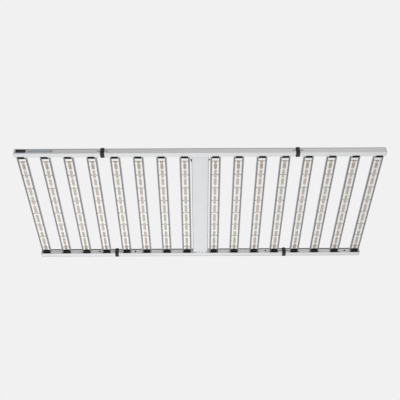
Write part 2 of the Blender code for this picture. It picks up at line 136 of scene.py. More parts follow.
def surface(
    name, colour, metallic, roughness, vary=0.04, bump=0.1, stretch=(1, 1, 1), scale=400.0,
    crease_shade=0.0, reach=CREASE_SHADE_REACH, shine=0.5,
):
    """A Principled material whose colour, roughness and height vary with a stretched noise.

    Painted shade darkens narrow grooves and inside corners that are within reach of a neighbouring
    face.
    """
    material = bpy.data.materials.new(name)
    material.use_nodes = True
    nodes = Nodes(material.node_tree)
    shader = material.node_tree.nodes["Principled BSDF"]
    nodes.set(shader, Metallic=metallic, Specular_IOR_Level=shine)
    place = nodes.add("TexCoord")
    mapping = nodes.set(nodes.add("Mapping"), Scale=stretch)
    nodes.link(place.outputs["Object"], mapping.inputs["Vector"])

    fine = nodes.set(nodes.add("TexNoise"), Scale=scale, Detail=4.0, Roughness=0.6)
    broad = nodes.set(nodes.add("TexNoise"), Scale=scale / BROAD_NOISE, Detail=2.0)
    nodes.link(mapping.outputs["Vector"], fine.inputs["Vector"])
    nodes.link(place.outputs["Object"], broad.inputs["Vector"])

    both = nodes.add("Mix", data_type="FLOAT")
    both.inputs["Factor"].default_value = 0.5
    nodes.link(fine.outputs["Fac"], both.inputs["A"])
    nodes.link(broad.outputs["Fac"], both.inputs["B"])

    tint = nodes.add("ValToRGB")
    tint.color_ramp.elements[0].position = NOISE_RANGE[0]
    tint.color_ramp.elements[0].color = rgba([c * (1 - vary) for c in colour])
    tint.color_ramp.elements[1].position = NOISE_RANGE[1]
    tint.color_ramp.elements[1].color = rgba([min(1.0, c * (1 + vary)) for c in colour])
    nodes.link(both.outputs["Result"], tint.inputs["Fac"])
    colour_output = tint.outputs["Color"]
    # Painted shade: an ambient occlusion node darkens the colour in grooves and inside corners.
    if crease_shade:
        crease = nodes.add("AmbientOcclusion", samples=6)
        nodes.set(crease, Distance=reach)
        dark = nodes.add("MapRange")
        nodes.set(dark, From_Min=CREASE_RANGE[0], From_Max=CREASE_RANGE[1])
        nodes.set(dark, To_Min=1 - crease_shade, To_Max=1.0)
        nodes.link(crease.outputs["AO"], dark.inputs["Value"])
        shade = nodes.add("VectorMath", operation="SCALE")
        nodes.link(colour_output, shade.inputs["Vector"])
        nodes.link(dark.outputs["Result"], shade.inputs["Scale"])
        colour_output = shade.outputs["Vector"]
    nodes.link(colour_output, shader.inputs["Base Color"])

    smoother, rougher = (roughness * share for share in ROUGHNESS_RANGE)
    rough = nodes.set(nodes.add("MapRange"), To_Min=smoother, To_Max=rougher)
    nodes.link(both.outputs["Result"], rough.inputs["Value"])
    nodes.link(rough.outputs["Result"], shader.inputs["Roughness"])

    height = nodes.set(nodes.add("Bump"), Strength=bump, Distance=BUMP_DEPTH)
    nodes.link(fine.outputs["Fac"], height.inputs["Height"])
    nodes.link(height.outputs["Normal"], shader.inputs["Normal"])
    return material


ALONG_X = (0.02, 1, 1)
ALONG_Y = (1, 0.02, 1)
EVEN = (1, 1, 1)
# The rail, bar and housing finishes carry painted shade, which darkens their grooves and inside
# corners.
RAIL = surface("rail_anodised", (0.88, 0.885, 0.895), 0.35, 0.42, 0.03, 0.12, ALONG_X, 900, 0.6, 0.0025)
END_CAP = surface("end_cap_grey", (0.36, 0.365, 0.37), 0.2, 0.5, 0.06, 0.2, EVEN, 1500)
BAR = surface("bar_anodised", (0.54, 0.545, 0.56), 0.35, 0.45, 0.05, 0.12, ALONG_Y, 900, 0.66, 0.009)
HOUSING = surface(
    "housing_silver_coat", (0.815, 0.825, 0.84), 0.2, 0.45, 0.025, 0.08, ALONG_Y, 900, 0.5, 0.006
)
# A darker copy of the housing finish: painted shade on the housing's long slanted faces.
HOUSING_EDGE_SHADE = surface(
    "housing_edge_painted_shade", (0.62, 0.625, 0.64), 0.2, 0.45, 0.025, 0.08, ALONG_Y, 900, 0.45
)
SOLDER_MASK = surface("board_solder_mask", (0.90, 0.90, 0.895), 0.0, 0.38, 0.02, 0.05, EVEN, 700)
BLACK_PLASTIC = surface(
    "black_moulded_plastic", (0.010, 0.010, 0.009), 0.0, 0.5, 0.2, 0.35, EVEN, 2500, shine=0.2
)
BLACK_COAT = surface("black_powder_coat", (0.020, 0.020, 0.018), 0.1, 0.45, 0.2, 0.4, EVEN, 1800)
# Black rubber is the inner seals and the clip's latch, and also painted shade: the dark blocks behind
# the rail slots and the pads in the housing seam. Grey rubber is painted shade: the outer wall beads
# and the strip under the far rail.
BLACK_RUBBER_AND_SHADE = surface("black_rubber_and_painted_shade", (0.018, 0.018, 0.018), 0.0, 0.7, 0.15, 0.3, EVEN, 1600)
GREY_RUBBER_AND_SHADE = surface("grey_rubber_and_painted_shade", (0.16, 0.16, 0.16), 0.0, 0.7, 0.08, 0.2, EVEN, 1600)
ZINC = surface("zinc_steel", (0.20, 0.20, 0.195), 0.9, 0.35, 0.08, 0.1, EVEN, 1200)
DARK_SCREW = surface("dark_screw_steel", (0.05, 0.05, 0.05), 0.6, 0.4, 0.1, 0.1, EVEN, 1500)
BRIGHT_SCREW = surface("bright_screw_steel", (0.55, 0.55, 0.56), 0.9, 0.3, 0.06, 0.1, EVEN, 1500)
SCREW_RECESS = surface("screw_recess", (0.03, 0.03, 0.03), 0.3, 0.6, 0.1, 0.1, EVEN, 1500)
BRASS = surface("contact_brass", (0.72, 0.55, 0.26), 0.95, 0.28, 0.06, 0.08, EVEN, 1500)
WHITE_INK = surface("white_ink", (0.80, 0.80, 0.79), 0.0, 0.5, 0.03, 0.05, EVEN, 1500)
CAST_GREY = surface("driver_casting", (0.16, 0.165, 0.17), 0.5, 0.5, 0.08, 0.3, EVEN, 1500)
CLIP_GREY = surface("clip_steel", (0.20, 0.205, 0.21), 0.6, 0.4, 0.08, 0.1, EVEN, 1500)
PHOSPHOR = surface("led_phosphor", (0.50, 0.38, 0.21), 0.0, 0.35, 0.06, 0.2, EVEN, 3000)
STRAW_PHOSPHOR = surface("led_straw_phosphor", (0.38, 0.275, 0.135), 0.0, 0.35, 0.06, 0.2, EVEN, 3000)
WARM_PHOSPHOR = surface("led_warm_phosphor", (0.33, 0.20, 0.065), 0.0, 0.35, 0.06, 0.2, EVEN, 3000)
DEEP_PHOSPHOR = surface("led_deep_phosphor", (0.20, 0.118, 0.035), 0.0, 0.35, 0.06, 0.2, EVEN, 3000)
LED_CASE = surface("led_case", (0.51, 0.465, 0.40), 0.0, 0.4, 0.03, 0.05, EVEN, 2000)
DEEP_CASE = surface("led_deep_case", (0.40, 0.305, 0.19), 0.0, 0.4, 0.03, 0.05, EVEN, 2000)
LABEL_DARK = surface("label_dark", (0.008, 0.009, 0.010), 0.0, 0.5, 0.1, 0.05, EVEN, 900, shine=0.2)
LABEL_BLUE = surface("label_blue_grey", (0.14, 0.19, 0.24), 0.0, 0.35, 0.15, 0.05, EVEN, 900)
LABEL_STRIP = surface("label_strip", (0.50, 0.535, 0.57), 0.2, 0.4, 0.55, 0.05, EVEN, 110)


def paint(node_names, material):
    for name in node_names:
        mesh = NODES[name].data
        mesh.materials.clear()
        mesh.materials.append(material)


def starting(*prefixes):
    return [name for name in NODES if name.startswith(prefixes)]


paint(starting("rail_near", "rail_far", "rail_cover"), RAIL)
paint(BAR_NAMES, BAR)
paint(BOARD_NAMES, SOLDER_MASK)
paint(starting("driver_housing", "housing_lid"), HOUSING)
paint(starting("housing_clip", "power_inlet"), BLACK_PLASTIC)
paint(starting("hanger_strap"), BLACK_COAT)
paint(starting("led_driver"), CAST_GREY)


CHAMFER_START_X = 0.048
CHAMFER_LEAST_SIDEWAYS = 0.3
CHAMFER_DOWNWARD = (-0.9, -0.1)


def shade_chamfers(name, material):
    """Gives a node's slanted faces, low on its two long sides, a darker copy of its finish as painted
    shade.
    """
    steepest, flattest = CHAMFER_DOWNWARD
    mesh = NODES[name].data
    mesh.materials.append(material)
    for polygon in mesh.polygons:
        sideways = abs(polygon.normal.x) > CHAMFER_LEAST_SIDEWAYS
        slanted = sideways and steepest < polygon.normal.z < flattest
        if slanted and abs(polygon.center.x) > CHAMFER_START_X:
            polygon.material_index = len(mesh.materials) - 1


shade_chamfers("driver_housing", HOUSING_EDGE_SHADE)


# Mesh pieces.


def mesh_from(name, shape, materials):
    """Makes a bmesh into a mesh, and frees it."""
    mesh = bpy.data.meshes.new(name)
    shape.to_mesh(mesh)
    shape.free()
    for material in materials:
        mesh.materials.append(material)
    return mesh


def piece(name, shape, materials, body=FRAME_BODY):
    """Makes a bmesh into a shown piece that rides on a CAD body."""
    return place_mesh(name, mesh_from(name, shape, materials), (0, 0, 0), body)


def piece_on_each_bar(name, shape, materials):
    """Makes a bmesh into one mesh that is shown on every bar."""
    mesh = mesh_from(name, shape, materials)
    for number, x in enumerate(BAR_X, 1):
        place_mesh(f"{name}_{number:02d}", mesh, (x, 0, 0))


def place_mesh(name, mesh, location, body=FRAME_BODY):
    obj = bpy.data.objects.new(name, mesh)
    bpy.context.scene.collection.objects.link(obj)
    obj.location = location
    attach(obj, body)
    return obj


def add_block(shape, corner, opposite, bevel=0.0, material=0):
    """Adds a box with softened edges to a bmesh, from any two opposite corners."""
    low = Vector(min(pair) for pair in zip(corner, opposite))
    high = Vector(max(pair) for pair in zip(corner, opposite))
    matrix = Matrix.Translation((low + high) / 2) @ Matrix.Diagonal((*(high - low), 1.0))
    made = bmesh.ops.create_cube(shape, size=1.0, matrix=matrix)
    verts = made["verts"]
    for face in {face for vert in verts for face in vert.link_faces}:
        face.material_index = material
    if bevel:
        edges = {edge for vert in verts for edge in vert.link_edges}
        bmesh.ops.bevel(
            shape, geom=list(edges), offset=bevel, segments=1, affect="EDGES",
            clamp_overlap=True, material=material,
        )


def facing(axis):
    """The turn that makes +Z point along axis, such as "-Y"."""
    return {
        "X": Matrix.Rotation(math.pi / 2, 4, "Y"),
        "-X": Matrix.Rotation(-math.pi / 2, 4, "Y"),
        "Y": Matrix.Rotation(-math.pi / 2, 4, "X"),
        "-Y": Matrix.Rotation(math.pi / 2, 4, "X"),
        "Z": Matrix.Identity(4),
        "-Z": Matrix.Rotation(math.pi, 4, "X"),
    }[axis]


def round_trace(radius, angle, row):
    """The same radius at every angle."""
    return radius


def scaled(profile, radius, height):
    """A profile given in shares of a radius and a height, at its real size."""
    return [(radius * reach, height * rise) for reach, rise in profile]


def add_turned(shape, profile, place, axis="Z", steps=16, material=0, trace=round_trace):
    """Adds a turned solid. The profile's (radius, height) points run from its foot up to its top.

    A trace may change the radius of a row with the angle, as for a hexagon or a knurl.
    """
    matrix = Matrix.Translation(place) @ facing(axis)
    rings = []
    for row, (radius, height) in enumerate(profile):
        ring = []
        for step in range(steps):
            angle = 2 * math.pi * step / steps
            reach = trace(radius, angle, row)
            point = Vector((reach * math.cos(angle), reach * math.sin(angle), height))
            ring.append(shape.verts.new(matrix @ point))
        rings.append(ring)
    faces = [shape.faces.new(list(reversed(rings[0]))), shape.faces.new(rings[-1])]
    for lower, upper in zip(rings, rings[1:]):
        for step in range(steps):
            following = (step + 1) % steps
            corners = (lower[step], lower[following], upper[following], upper[step])
            faces.append(shape.faces.new(corners))
    for face in faces:
        face.material_index = material


SCREW_PROFILE = ((1.0, 0.0), (1.0, 0.45), (0.8, 0.85), (0.45, 1.0))
RECESS_HALF_LENGTH = 0.4
RECESS_HALF_WIDTH = 0.1
RECESS_DEPTH = 0.2
RECESS_LIFT = 2e-5


def add_screw(shape, place, radius, height, axis, material=0, slot_material=None):
    """Adds a domed screw head. With a slot material, two crossed dark bars are its recess."""
    add_turned(shape, scaled(SCREW_PROFILE, radius, height), place, axis, material=material)
    if slot_material is None:
        return
    turn = facing(axis).to_3x3()
    normal = turn @ Vector((0, 0, 1))
    for angle in (math.pi / 4, -math.pi / 4):
        along = turn @ Vector((math.cos(angle), math.sin(angle), 0))
        across = turn @ Vector((-math.sin(angle), math.cos(angle), 0))
        middle = Vector(place) + normal * height
        corners = []
        for end, hand in ((-1, -1), (1, -1), (1, 1), (-1, 1)):
            flat = (
                middle
                + along * end * radius * RECESS_HALF_LENGTH
                + across * hand * radius * RECESS_HALF_WIDTH
            )
            sunk = shape.verts.new(flat - normal * height * RECESS_DEPTH)
            corners.append((sunk, shape.verts.new(flat + normal * RECESS_LIFT)))
        top = shape.faces.new([pair[1] for pair in corners])
        bottom = shape.faces.new([pair[0] for pair in reversed(corners)])
        faces = [top, bottom]
        for index in range(4):
            this, following = corners[index], corners[(index + 1) % 4]
            faces.append(shape.faces.new((this[0], following[0], following[1], this[1])))
        for face in faces:
            face.material_index = slot_material


def add_strip(shape, outline, start_x, end_x, material=0):
    """Adds a straight bar along X whose section is an outline of (y, z) points."""
    ends = []
    for x in (start_x, end_x):
        ends.append([shape.verts.new((x, y, z)) for y, z in outline])
    faces = [shape.faces.new(list(reversed(ends[0]))), shape.faces.new(ends[1])]
    count = len(outline)
    for index in range(count):
        following = (index + 1) % count
        corners = (ends[0][index], ends[0][following], ends[1][following], ends[1][index])
        faces.append(shape.faces.new(corners))
    for face in faces:
        face.material_index = material
    bmesh.ops.recalc_face_normals(shape, faces=faces)


# Circuit boards: seven segments in a row, clamped at every joint.

SEGMENTS = 7
SEGMENT_LENGTH = 0.13157
FIRST_JOINT_Y = -SEGMENTS * SEGMENT_LENGTH / 2

# LEDs: groups of unlike lengths, the same outwards from the pattern's middle both ways.
PATTERN_MIDDLE_Y = 0.026
MIDDLE_GROUP = 0.101
OUTWARD_GROUPS = (0.093, 0.1015, 0.077, 0.0845)
LED_START_Y = -0.464
NEAR_BREAK_Y = -0.4377
LED_END_Y = 0.4915
LED_GAP = 0.0055
OUTER_GAP = 0.0012
OUTER_GAP_START = 0.30
BREAK_GAP = 0.0006
FIRST_FLARE = 0.0010
PLAIN_PITCHES = (0.0059, 0.0062)
DENSE_PITCHES = (0.0053, 0.0068)
LED_SIZE = 0.0048
LED_HEIGHT = 0.0008
LED_BEVEL = 0.0003
LENS_HEIGHT = 0.00015
LENS_SHARE = 0.78
LENS_BEVEL = 0.0001
LAST_ROW_SLACK = 0.05
LED_MATERIALS = (LED_CASE, DEEP_CASE, PHOSPHOR, STRAW_PHOSPHOR, WARM_PHOSPHOR, DEEP_PHOSPHOR)

# Each group's case and lens, as places in LED_MATERIALS. The groups are counted from the near end.
PLAIN_FINISH = (0, 2)
GROUP_FINISHES = {0: (1, 4), 1: (1, 4), 9: (0, 3), 10: (0, 3), 11: (1, 5)}


def group_edges():
    """The middles of the gaps between the LED groups, near to far, with the pattern's two ends."""
    reach = MIDDLE_GROUP / 2
    reaches = [reach]
    for length in OUTWARD_GROUPS:
        reach += length
        reaches.append(reach)
    near = [PATTERN_MIDDLE_Y - reach for reach in reversed(reaches)]
    far = [PATTERN_MIDDLE_Y + reach for reach in reaches]
    return [LED_START_Y, NEAR_BREAK_Y] + near + far + [LED_END_Y]


def gap_at(edge):
    """The gap between two groups, which is narrow far from the pattern's middle."""
    if edge == NEAR_BREAK_Y:
        return BREAK_GAP
    return OUTER_GAP if abs(edge - PATTERN_MIDDLE_Y) > OUTER_GAP_START else LED_GAP


def add_led(shape, x, y, case, lens):
    """A square case with a flat lens on it, where case and lens are places in LED_MATERIALS."""
    half = LED_SIZE / 2
    bottom = LED_PLANE - LED_HEIGHT
    case_high = (x + half, y + half, LED_PLANE + SEAT)
    add_block(shape, (x - half, y - half, bottom), case_high, LED_BEVEL, case)
    inner = half * LENS_SHARE
    lens_low = (x - inner, y - inner, bottom - LENS_HEIGHT)
    lens_high = (x + inner, y + inner, bottom + LENS_HEIGHT)
    add_block(shape, lens_low, lens_high, LENS_BEVEL, lens)


def add_led_group(shape, start, end, pitches, finish, full_rows=(), flare=0.0):
    """Rows of three LEDs, with a single one in the first and last row, unless that row is full.

    The pitches are between rows and between columns, and the finish is a case and a lens material.
    A flare spreads the columns in the first row, and less in each row after it.
    """
    row_pitch, column_pitch = pitches
    case, lens = finish
    rows = int((end - start) / row_pitch + LAST_ROW_SLACK) + 1
    middle = (start + end) / 2
    for row in range(rows):
        y = middle + (row - (rows - 1) / 2) * row_pitch
        first_or_last = "first" if row == 0 else "last" if row == rows - 1 else None
        columns = (-1, 0, 1) if first_or_last is None or first_or_last in full_rows else (0,)
        spread = column_pitch + flare * (1 - row / (rows - 1))
        for column in columns:
            add_led(shape, column * spread, y, case, lens)


def build_leds():
    """Groups of white LEDs along each bar. The first two and the last are warmer and denser."""
    shape = bmesh.new()
    edges = group_edges()
    last = len(edges) - 2
    for number, (start, end) in enumerate(zip(edges, edges[1:])):
        low = start + LED_SIZE / 2 + (0 if number == 0 else gap_at(start) / 2)
        high = end - LED_SIZE / 2 - (0 if number == last else gap_at(end) / 2)
        finish = GROUP_FINISHES.get(number, PLAIN_FINISH)
        if number == 0:
            add_led_group(shape, low, high, DENSE_PITCHES, finish, ("first",), FIRST_FLARE)
        elif number == last:
            add_led_group(shape, low, high, DENSE_PITCHES, finish, ("last",))
        elif number == 1:
            add_led_group(shape, low, high, DENSE_PITCHES, finish, ("first",))
        else:
            add_led_group(shape, low, high, PLAIN_PITCHES, finish)
    piece_on_each_bar("led_array", shape, LED_MATERIALS)


CLIP_HALF_LENGTH = 0.0019
FIRST_CLIP_HALF_LENGTH = 0.0013
FIRST_CLIP_INNER_X = 0.0008
CLIP_INNER_X = 0.0115
CLIP_HEIGHT = 0.0012
CLIP_OVERHANG = 0.0002
CLIP_BEVEL = 0.0003
CLIP_SCREW_X = 0.0185
CLIP_SCREW_RADIUS = 0.0021
CLIP_SCREW_HEIGHT = 0.0010


def build_clips():
    """A pair of screwed clips at every board joint. The first pair nearly meets in the middle."""
    shape = bmesh.new()
    for joint in range(SEGMENTS + 1):
        y = FIRST_JOINT_Y + joint * SEGMENT_LENGTH
        inner_x = FIRST_CLIP_INNER_X if joint == 0 else CLIP_INNER_X
        half_length = FIRST_CLIP_HALF_LENGTH if joint == 0 else CLIP_HALF_LENGTH
        for hand in (-1, 1):
            low = (hand * inner_x, y - half_length, LED_PLANE - CLIP_HEIGHT)
            high = (hand * (BOARD_HALF_WIDTH + CLIP_OVERHANG), y + half_length, LED_PLANE + SEAT)
            add_block(shape, low, high, CLIP_BEVEL, 0)
            screw = (hand * CLIP_SCREW_X, y, LED_PLANE - CLIP_HEIGHT + SEAT)
            add_screw(shape, screw, CLIP_SCREW_RADIUS, CLIP_SCREW_HEIGHT, "-Z", 1)
    piece_on_each_bar("board_clips", shape, (CLIP_GREY, DARK_SCREW))


build_leds()
build_clips()


# Bar sockets, with the flat cable that joins them inside each rail.

SOCKET_HALF_WIDTH = 0.022
SOCKET_LENGTH = 0.024
SOCKET_BOTTOM = LED_PLANE - 0.0096
SOCKET_TOP = LED_PLANE + 0.0016
FLANGE_HALF_WIDTH = 0.030
FLANGE_THICKNESS = 0.0025
FLANGE_BOTTOM = RAIL_BOTTOM + 0.0040
FLANGE_TOP = SOCKET_BOTTOM + 0.0020
FLANGE_GAP = 0.0003
CABLE_BOTTOM = RAIL_BOTTOM + 0.0099
CABLE_TOP = RAIL_BOTTOM + 0.0151
CABLE_FROM_FACE = 0.0027
CABLE_DEPTH = 0.008
CABLE_OVERHANG = 0.014
STUB_HALF_WIDTH = 0.012
STUB_REACH = 0.0043
HOOK_REACH = 0.0065
HOOK_BOTTOM = RAIL_BOTTOM - 0.0014
HOOK_TOP = RAIL_BOTTOM - 0.0003
SOCKET_RIB_X = (-0.0165, -0.0110, 0.0110, 0.0165)
RIB_HALF_WIDTH = 0.0006
RIB_HEIGHT = 0.0005
RIB_FROM_FLANGE = 0.002
RIB_FROM_END = 0.003
TAB_HALF_WIDTH = 0.0055
TAB_HEIGHT = 0.0008
TAB_START = 0.0015
TAB_END = 0.0085
SOCKET_SINK = 0.0002


def build_sockets():
    """A moulded socket with ribs, a latch tab and a flange under each bar's end.

    The far flanges are wider. The near ones hook under the rail. A flat cable joins each row.
    """
    for label, side in SIDES.items():
        face_y = side * (RAIL_INNER_Y - FLANGE_GAP)
        flange_y = face_y - side * FLANGE_THICKNESS
        end_y = side * (RAIL_INNER_Y - SOCKET_LENGTH)
        shape = bmesh.new()
        for x in BAR_X:
            foot_low = (x - SOCKET_HALF_WIDTH, face_y - side * FLANGE_GAP, SOCKET_BOTTOM)
            add_block(shape, foot_low, (x + SOCKET_HALF_WIDTH, end_y, SOCKET_TOP), 0.0008)
            for rib_x in SOCKET_RIB_X:
                rib_start = flange_y - side * RIB_FROM_FLANGE
                rib_end = end_y + side * RIB_FROM_END
                rib_low = (x + rib_x - RIB_HALF_WIDTH, rib_start, SOCKET_BOTTOM - RIB_HEIGHT)
                rib_high = (x + rib_x + RIB_HALF_WIDTH, rib_end, SOCKET_BOTTOM + SOCKET_SINK)
                add_block(shape, rib_low, rib_high, 0.0002)
            tab_low = (x - TAB_HALF_WIDTH, end_y + side * TAB_START, SOCKET_BOTTOM - TAB_HEIGHT)
            tab_high = (x + TAB_HALF_WIDTH, end_y + side * TAB_END, SOCKET_BOTTOM + SOCKET_SINK)
            add_block(shape, tab_low, tab_high, 0.0004)
            stub_low = (x - STUB_HALF_WIDTH, flange_y, CABLE_BOTTOM)
            stub_high = (x + STUB_HALF_WIDTH, side * (RAIL_INNER_Y + STUB_REACH), CABLE_TOP)
            add_block(shape, stub_low, stub_high, 0.0002)
            half_width = FLANGE_HALF_WIDTH if side > 0 else SOCKET_HALF_WIDTH
            flange_low = (x - half_width, face_y, FLANGE_BOTTOM)
            add_block(shape, flange_low, (x + half_width, flange_y, FLANGE_TOP), 0.0006)
            if side < 0:
                web_low = (x - SOCKET_HALF_WIDTH, face_y, HOOK_BOTTOM)
                add_block(shape, web_low, (x + SOCKET_HALF_WIDTH, flange_y, FLANGE_TOP), 0.0003)
                lip_high = (x + SOCKET_HALF_WIDTH, side * (RAIL_INNER_Y + HOOK_REACH), HOOK_TOP)
                add_block(shape, (x - SOCKET_HALF_WIDTH, flange_y, HOOK_BOTTOM), lip_high, 0.0003)
        cable_y = side * (RAIL_INNER_Y + CABLE_FROM_FACE)
        cable_low = (BAR_X[0] - CABLE_OVERHANG, cable_y, CABLE_BOTTOM)
        cable_high = (BAR_X[-1] + CABLE_OVERHANG, cable_y + side * CABLE_DEPTH, CABLE_TOP)
        add_block(shape, cable_low, cable_high, 0.0006)
        sockets = piece(f"socket_row_{label}", shape, [BLACK_PLASTIC])
        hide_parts(f"bar_harness_{label}")


build_sockets()


# Rail details: seals and painted shade beads in the walls, dark blocks as painted shade behind the
# slots, screws.

SEAL_BOTTOM = RAIL_BOTTOM + 0.0377
SEAL_TOP = RAIL_BOTTOM + 0.0411
SEAL_DEPTH = 0.0007
SEAL_LIP = 0.0002
SEAL_LIP_DROP = 0.0038
BEAD_INSET = 0.0001
BEAD_SHOULDER_INSET = 0.0003
BEAD_SHOULDER = 0.0006
STRIP_FROM_RAIL_END = 0.001


def build_seals_and_shade_beads():
    """A rubber strip in the seat along the top of each rail wall.

    Outside it is a grey bead, whose grey is painted shade for the seat's shadow line. Inside it is
    black, with a thin lip that hangs down over the wall.
    """
    for label, side in SIDES.items():
        for face, face_y, inward, material in (
            ("inner", side * RAIL_INNER_Y, side, BLACK_RUBBER_AND_SHADE),
            # The outer bead's grey is painted shade for the shadow line of the seat.
            ("outer", side * RAIL_OUTER_Y, -side, GREY_RUBBER_AND_SHADE),
        ):
            back = face_y + inward * SEAL_DEPTH
            if face == "inner":
                front = face_y - inward * SEAL_LIP
                outline = [
                    (back, SEAL_BOTTOM),
                    (face_y - inward * SEAL_LIP / 4, SEAL_BOTTOM),
                    (face_y - inward * SEAL_LIP / 4, SEAL_BOTTOM - SEAL_LIP_DROP),
                    (front, SEAL_BOTTOM - SEAL_LIP_DROP),
                    (front, SEAL_TOP),
                    (back, SEAL_TOP),
                ]
            else:
                shoulder = face_y + inward * BEAD_SHOULDER_INSET
                front = face_y + inward * BEAD_INSET
                outline = [
                    (back, SEAL_BOTTOM),
                    (shoulder, SEAL_BOTTOM),
                    (front, SEAL_BOTTOM + BEAD_SHOULDER),
                    (front, SEAL_TOP - BEAD_SHOULDER),
                    (shoulder, SEAL_TOP),
                    (back, SEAL_TOP),
                ]
            shape = bmesh.new()
            start_x = -RAIL_HALF_LENGTH + STRIP_FROM_RAIL_END
            add_strip(shape, outline, start_x, RAIL_HALF_LENGTH - STRIP_FROM_RAIL_END)
            piece(f"rail_seal_{label}_{face}", shape, [material])


SLOT_SHADE_HALF_LENGTH = 0.036
SLOT_SHADE_HALF_HEIGHT = 0.0043
SLOT_SHADE_INSET = 0.0026


def build_slot_shade_blocks():
    """A black block inside the rail behind each slot, which moves with its hanger. It is painted shade
    for the dark inside of the rail seen through the slot.
    """
    for label, side in SIDES.items():
        for end in ENDS:
            bolt = centre(f"hanger_bolt_{label}_{end}")
            inner_y = side * (RAIL_INNER_Y + SLOT_SHADE_INSET)
            outer_y = side * (RAIL_OUTER_Y - SLOT_SHADE_INSET)
            low = (bolt.x - SLOT_SHADE_HALF_LENGTH, inner_y, bolt.z - SLOT_SHADE_HALF_HEIGHT)
            high = (bolt.x + SLOT_SHADE_HALF_LENGTH, outer_y, bolt.z + SLOT_SHADE_HALF_HEIGHT)
            shape = bmesh.new()
            add_block(shape, low, high, 0.0006)
            body = f"hanger_{label}_{end}"
            piece(f"slot_shade_block_{label}_{end}", shape, [BLACK_RUBBER_AND_SHADE], body)


FACE_SCREW_X = (-0.753, -0.487, 0.487, 1.078)
FACE_SCREW_RADIUS = 0.0056
FACE_SCREW_HEIGHT = 0.0030
UNDER_SCREW_X = (-0.447, 0.447)
UNDER_SCREW_INSET = 0.004
UNDER_SCREW_RADIUS = 0.0024
UNDER_SCREW_HEIGHT = 0.0012


def build_rail_screws():
    """Small dark screws in the far rail's inner face and under the near rail."""
    shape = bmesh.new()
    for x in FACE_SCREW_X:
        place = (x, RAIL_INNER_Y, LED_PLANE)
        add_screw(shape, place, FACE_SCREW_RADIUS, FACE_SCREW_HEIGHT, "-Y", 0)
    for x in UNDER_SCREW_X:
        place = (x, -RAIL_INNER_Y - UNDER_SCREW_INSET, RAIL_BOTTOM)
        add_screw(shape, place, UNDER_SCREW_RADIUS, UNDER_SCREW_HEIGHT, "-Z", 0)
    piece("rail_screws", shape, [BLACK_COAT])


EDGE_SHADE_INSETS = (0.0042, 0.0018)
EDGE_SHADE_HALF_HEIGHT = 0.0001
EDGE_SHADE_BEVEL = 0.00004


def build_edge_shade_strip():
    """A thin grey strip along the outer edge of the far rail's underside: painted shade for the dark
    line at that edge.
    """
    shape = bmesh.new()
    half_length = RAIL_HALF_LENGTH - STRIP_FROM_RAIL_END
    inner, outer = (RAIL_OUTER_Y - inset for inset in EDGE_SHADE_INSETS)
    low = (-half_length, inner, RAIL_BOTTOM - EDGE_SHADE_HALF_HEIGHT)
    high = (half_length, outer, RAIL_BOTTOM + EDGE_SHADE_HALF_HEIGHT)
    add_block(shape, low, high, EDGE_SHADE_BEVEL)
    piece("rail_edge_shade_strip_far", shape, [GREY_RUBBER_AND_SHADE])


build_seals_and_shade_beads()
build_slot_shade_blocks()
build_rail_screws()
build_edge_shade_strip()


# Housing details.

SEAM_SHADE_SPANS_X = ((-0.052, -0.026), (-0.014, -0.005), (0.007, 0.018), (0.034, 0.052))
SEAM_SHADE_INSETS = (0.0135, 0.0090)
SEAM_SHADE_DROPS = (0.0010, 0.00005)


def build_housing_seam_shade():
    """Short black pads under the housing floor's far end: painted shade in the seam between the housing
    and the far rail.
    """
    shape = bmesh.new()
    near_y, far_y = (RAIL_INNER_Y - inset for inset in SEAM_SHADE_INSETS)
    bottom, top = (RAIL_BOTTOM - drop for drop in SEAM_SHADE_DROPS)
    for start_x, end_x in SEAM_SHADE_SPANS_X:
        low = (start_x, near_y, bottom)
        high = (end_x, far_y, top)
        add_block(shape, low, high, 0.0003)
    piece("housing_seam_shade_pads", shape, [BLACK_RUBBER_AND_SHADE])


LATCH_WIDTH = 0.0032
LATCH_OVERHANG = 0.0010
LATCH_HALF_LENGTH = 0.0045
LATCH_DROP = 0.0140
LATCH_SINK = 0.0010


def build_clip_tab():
    """The left clip's latch, which hangs down beside the housing."""
    low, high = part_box("housing_clip_left")
    shape = bmesh.new()
    middle_y = (low.y + high.y) / 2
    tab_low = (high.x - LATCH_WIDTH, middle_y - LATCH_HALF_LENGTH, low.z - LATCH_DROP)
    tab_high = (high.x + LATCH_OVERHANG, middle_y + LATCH_HALF_LENGTH, low.z + LATCH_SINK)
    add_block(shape, tab_low, tab_high, 0.0006)
    piece("clip_latch_left", shape, [BLACK_RUBBER_AND_SHADE])


build_housing_seam_shade()
build_clip_tab()


# Bolts, end caps, lid screws, knob and inlet.

BOLT_SHANK_RADIUS = 0.002
BOLT_HEAD_HEIGHT = 0.003
BOLT_STEPS = 24
SHANK_STEPS = 12
SHANK_GAP = 0.1

# Profiles in shares of the head's radius and height, with the rows that are hexagons.
HEAD_PROFILE = ((0.97, 0.0), (1.0, 0.8), (0.9, 1.0), (0.55, 1.0), (0.5, 0.35))
HEAD_SOCKET_ROWS = (3, 4)
NUT_PROFILE = ((1.0, 0.0), (1.0, 0.7), (0.8, 1.0))
NUT_HEXAGON_ROWS = (0, 1)


def hex_radius(radius, angle):
    """A hexagon's reach at an angle, where radius is its reach at a corner."""
    part = math.radians(60)
    return radius * math.cos(part / 2) / math.cos(angle % part - part / 2)


